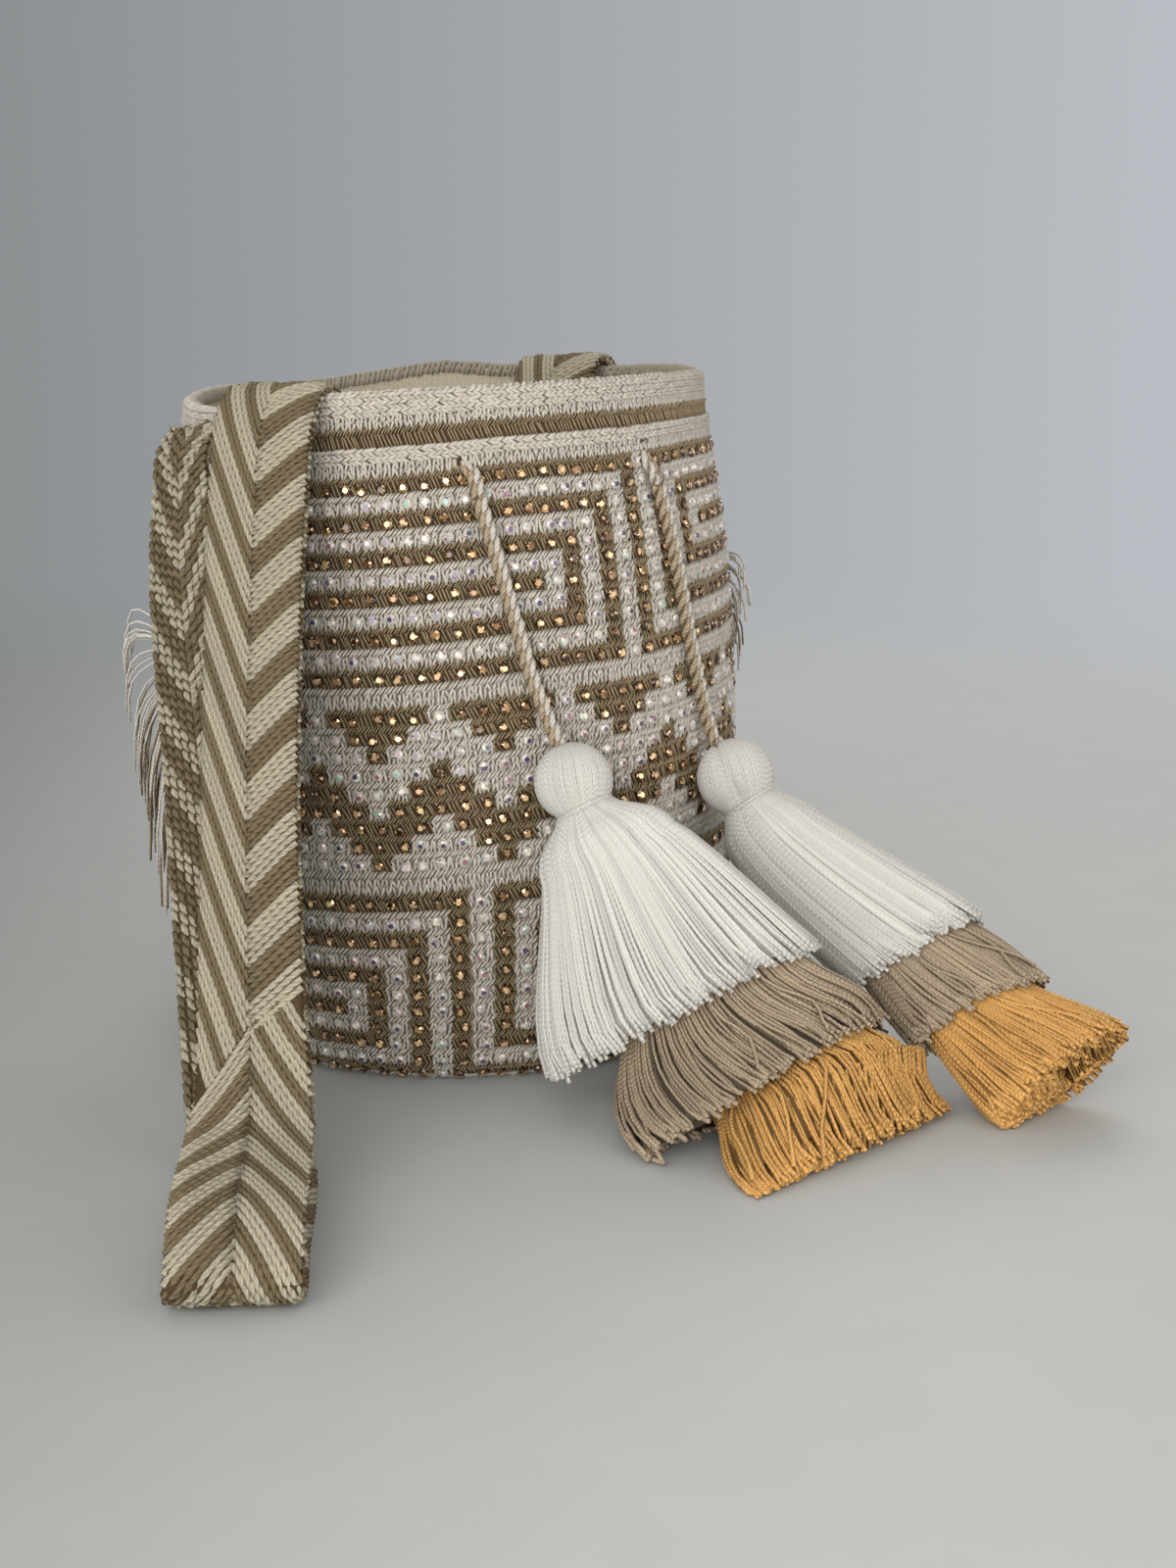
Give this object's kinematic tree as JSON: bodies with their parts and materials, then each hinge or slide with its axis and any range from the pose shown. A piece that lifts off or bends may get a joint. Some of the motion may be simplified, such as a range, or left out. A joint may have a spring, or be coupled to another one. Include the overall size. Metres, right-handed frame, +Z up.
{
  "type": "mochila bag",
  "caption": "Crocheted bucket bag with a charted meander and triangle pattern set with small stones, a woven shoulder strap, a twisted drawstring and tiered tassels.",
  "frame": {"origin": "on the flat of the base, near the middle of the bag's round bottom", "axes": "+Z up along the bag, -Y out of the bag's front, +X to the right as seen from the front"},
  "size_m": [0.3689, 0.4091, 0.2604],
  "materials": {
    "bag_crochet": "crocheted cotton, cream and tan",
    "strap_weave": "interlaced cotton cord, cream and tan",
    "strap_fringe": "loose cotton threads",
    "drawstring_cord": "twisted cotton cord, cream and tan",
    "tassel_white": "soft twisted thread",
    "tassel_tie": "tied thread",
    "tassel_taupe": "soft twisted thread",
    "tassel_gold": "silky twisted thread"
  },
  "bodies": {
    "root": {"bag_body": "bag_crochet", "strap": "strap_weave", "strap_fringe_left": "strap_fringe", "strap_fringe_right": "strap_fringe", "drawstring_loop": "drawstring_cord", "drawstring_tail_left": "drawstring_cord", "drawstring_tail_right": "drawstring_cord", "tassel_left_white": "tassel_white", "tassel_left_tie": "tassel_tie", "tassel_left_taupe": "tassel_taupe", "tassel_left_gold": "tassel_gold", "tassel_right_white": "tassel_white", "tassel_right_tie": "tassel_tie", "tassel_right_taupe": "tassel_taupe", "tassel_right_gold": "tassel_gold"}
  },
  "joints": []
}
